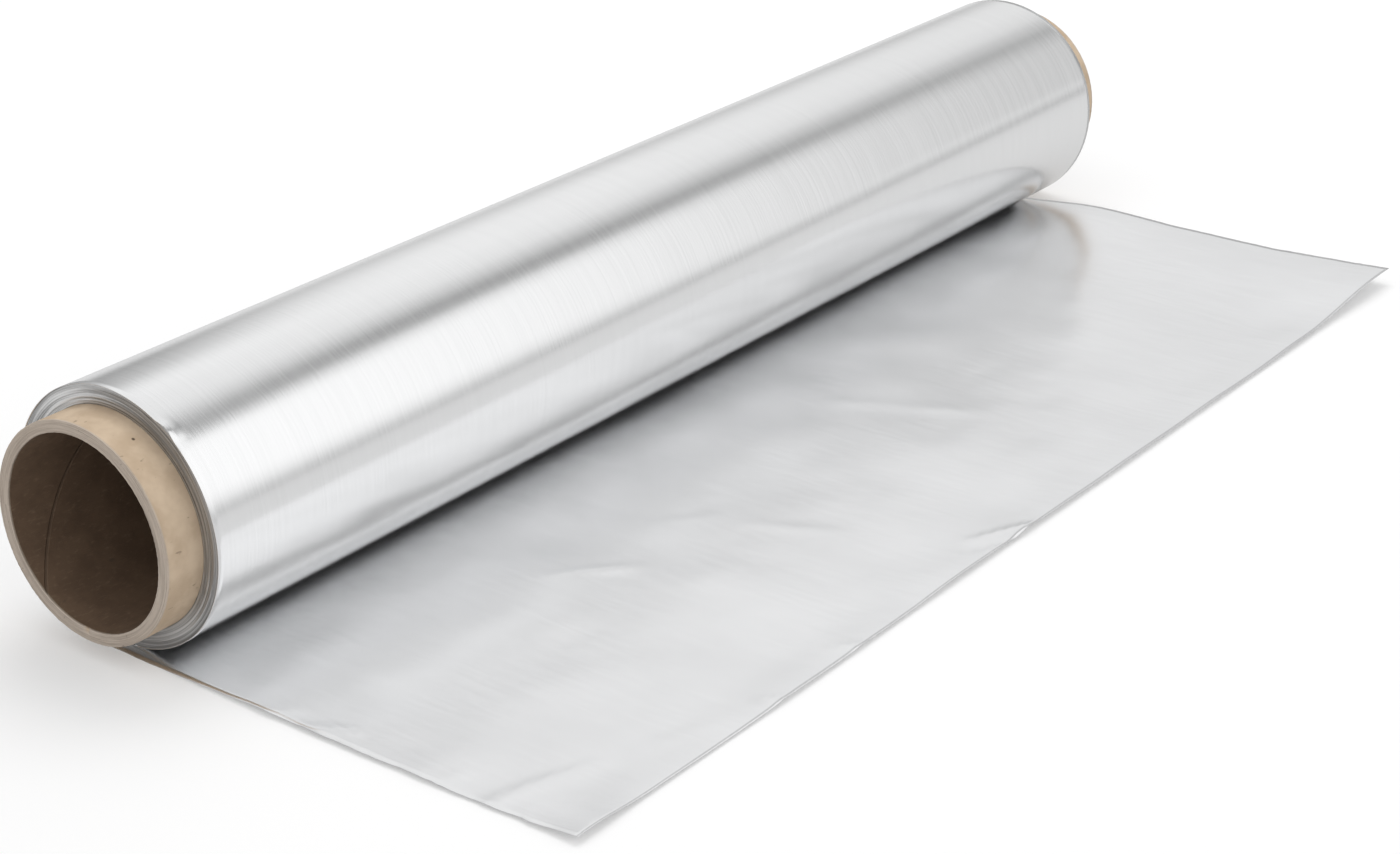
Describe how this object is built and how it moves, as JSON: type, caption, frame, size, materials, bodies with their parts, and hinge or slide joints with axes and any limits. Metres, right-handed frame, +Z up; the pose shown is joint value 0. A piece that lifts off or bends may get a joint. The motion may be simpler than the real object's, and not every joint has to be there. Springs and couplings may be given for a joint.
{
  "type": "aluminium foil roll",
  "caption": "Household aluminium foil wound on a paperboard core, lying on its side with its free end pulled out flat in front.",
  "frame": {"origin": "on the roll's axis, half way along the core's bore, one roll radius above the table", "axes": "X along the roll's axis, the free sheet towards -Y, +Z up from the table"},
  "size_m": [0.3216, 0.1336, 0.0507],
  "materials": {
    "core_board": "matte brown paperboard, greyer at the cut ends",
    "foil": "bright rolled foil outside, dull on the free sheet's upper side"
  },
  "bodies": {
    "root": {"core": "core_board", "foil": "foil"}
  },
  "joints": []
}
